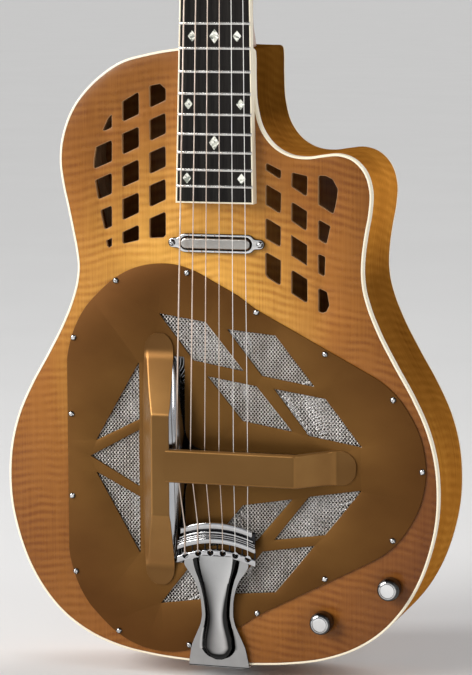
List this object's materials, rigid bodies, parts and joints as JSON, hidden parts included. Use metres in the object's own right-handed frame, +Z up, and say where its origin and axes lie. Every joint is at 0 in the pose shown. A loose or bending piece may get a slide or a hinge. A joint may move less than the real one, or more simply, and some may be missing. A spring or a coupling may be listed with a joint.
{
  "type": "resonator guitar",
  "caption": "Single-cutaway wooden resonator guitar with a T-shaped hand rest over a triangular coverplate, grid sound holes, slim neck pickup, trapeze tailpiece and slotted headstock.",
  "frame": {"origin": "where a wall hanger's yoke holds the guitar: on the centre line under the flare of the headstock, level with the front face of the top plate", "axes": "+Z up along the neck, front of the guitar faces -Y and its back +Y, treble (cutaway) side towards +X"},
  "size_m": [0.3514, 0.1292, 0.9974],
  "materials": {
    "maple_side": "gloss clear lacquer over flamed maple",
    "maple_top": "gloss honey lacquer over flamed maple",
    "cream": "gloss",
    "spruce": "raw",
    "mahogany": "satin lacquer",
    "steel": "machined",
    "ebony": "oiled",
    "bone": "polished",
    "spun_aluminium": "spun",
    "cast_aluminium": "polished casting",
    "maple_saddle": "raw",
    "bronze_paint": "satin metallic lacquer",
    "wire_mesh": "woven wire",
    "chrome": "polished",
    "satin_nickel": "satin nickel plate",
    "black_bobbin": "moulded",
    "pearl_button": "pearloid button on a nickel shaft",
    "wound_string": "bronze wound",
    "plain_string": "drawn steel"
  },
  "bodies": {
    "guitar": {"body_rim": "maple_side", "top_plate": "maple_top", "back_plate": "maple_side", "top_binding": "cream", "back_binding": "cream", "top_lining": "spruce", "back_lining": "spruce", "neck_block": "mahogany", "tail_block": "mahogany", "soundwell": "spruce", "neck": "mahogany", "truss_rod": "steel", "headstock_veneer": "ebony", "fretboard": "ebony", "fretboard_binding": "cream", "nut": "bone", "cone_bass_upper": "spun_aluminium", "cone_bass_lower": "spun_aluminium", "cone_treble": "spun_aluminium", "t_bridge": "cast_aluminium", "saddle": "maple_saddle", "coverplate": "bronze_paint", "handrest": "bronze_paint", "screen_upper": "wire_mesh", "screen_lower": "wire_mesh", "screen_bass": "wire_mesh", "tailpiece": "chrome", "end_pin_jack": "chrome", "strap_button": "chrome", "pickup_ring": "chrome", "pickup_cover": "satin_nickel", "pickup_coil": "black_bobbin", "pickup_screw_bass": "chrome", "pickup_screw_treble": "chrome", "pot_tone": "satin_nickel", "pot_volume": "satin_nickel", "tuner_plate_bass": "satin_nickel", "tuner_plate_treble": "satin_nickel", "string_6": "wound_string", "string_5": "wound_string", "string_4": "wound_string", "string_3": "wound_string", "string_2": "plain_string", "string_1": "plain_string"},
    "key_6": {"tuner_key_6": "pearl_button"},
    "post_6": {"roller_6": "satin_nickel"},
    "key_5": {"tuner_key_5": "pearl_button"},
    "post_5": {"roller_5": "satin_nickel"},
    "key_4": {"tuner_key_4": "pearl_button"},
    "post_4": {"roller_4": "satin_nickel"},
    "key_3": {"tuner_key_3": "pearl_button"},
    "post_3": {"roller_3": "satin_nickel"},
    "key_2": {"tuner_key_2": "pearl_button"},
    "post_2": {"roller_2": "satin_nickel"},
    "key_1": {"tuner_key_1": "pearl_button"},
    "post_1": {"roller_1": "satin_nickel"},
    "tone_control": {"knob_tone": "chrome", "pot_shaft_tone": "steel"},
    "volume_control": {"knob_volume": "chrome", "pot_shaft_volume": "steel"}
  },
  "joints": [
    {"name": "key_6_turn", "type": "hinge", "parent": "guitar", "child": "key_6", "pos_m": [-0.0391, 0.01615, 0.04911], "axis": [0, 0.9703, -0.2419], "continuous": true},
    {"name": "post_6_turn", "type": "hinge", "parent": "guitar", "child": "post_6", "pos_m": [0, 0.01988, 0.03926], "axis": [1, 0, 0], "continuous": true},
    {"name": "key_5_turn", "type": "hinge", "parent": "guitar", "child": "key_5", "pos_m": [-0.0391, 0.02486, 0.08404], "axis": [0, 0.9703, -0.2419], "continuous": true},
    {"name": "post_5_turn", "type": "hinge", "parent": "guitar", "child": "post_5", "pos_m": [0, 0.02859, 0.07419], "axis": [1, 0, 0], "continuous": true},
    {"name": "key_4_turn", "type": "hinge", "parent": "guitar", "child": "key_4", "pos_m": [-0.0391, 0.03357, 0.11897], "axis": [0, 0.9703, -0.2419], "continuous": true},
    {"name": "post_4_turn", "type": "hinge", "parent": "guitar", "child": "post_4", "pos_m": [0, 0.0373, 0.10912], "axis": [1, 0, 0], "continuous": true},
    {"name": "key_3_turn", "type": "hinge", "parent": "guitar", "child": "key_3", "pos_m": [0.0391, 0.03357, 0.11897], "axis": [0, 0.9703, -0.2419], "continuous": true},
    {"name": "post_3_turn", "type": "hinge", "parent": "guitar", "child": "post_3", "pos_m": [0, 0.0373, 0.10912], "axis": [1, 0, 0], "continuous": true},
    {"name": "key_2_turn", "type": "hinge", "parent": "guitar", "child": "key_2", "pos_m": [0.0391, 0.02486, 0.08404], "axis": [0, 0.9703, -0.2419], "continuous": true},
    {"name": "post_2_turn", "type": "hinge", "parent": "guitar", "child": "post_2", "pos_m": [0, 0.02859, 0.07419], "axis": [1, 0, 0], "continuous": true},
    {"name": "key_1_turn", "type": "hinge", "parent": "guitar", "child": "key_1", "pos_m": [0.0391, 0.01615, 0.04911], "axis": [0, 0.9703, -0.2419], "continuous": true},
    {"name": "post_1_turn", "type": "hinge", "parent": "guitar", "child": "post_1", "pos_m": [0, 0.01988, 0.03926], "axis": [1, 0, 0], "continuous": true},
    {"name": "tone_turn", "type": "hinge", "parent": "guitar", "child": "tone_control", "pos_m": [0.1382, 0, -0.7449], "axis": [0, 1, 0], "range_deg": [0, 300]},
    {"name": "volume_turn", "type": "hinge", "parent": "guitar", "child": "volume_control", "pos_m": [0.0843, 0, -0.775], "axis": [0, 1, 0], "range_deg": [0, 300]}
  ],
  "couplings": [
    {"joint": "post_6_turn", "follows": "key_6_turn", "ratio": 0.0625},
    {"joint": "post_5_turn", "follows": "key_5_turn", "ratio": 0.0625},
    {"joint": "post_4_turn", "follows": "key_4_turn", "ratio": 0.0625},
    {"joint": "post_3_turn", "follows": "key_3_turn", "ratio": 0.0625},
    {"joint": "post_2_turn", "follows": "key_2_turn", "ratio": 0.0625},
    {"joint": "post_1_turn", "follows": "key_1_turn", "ratio": 0.0625}
  ]
}
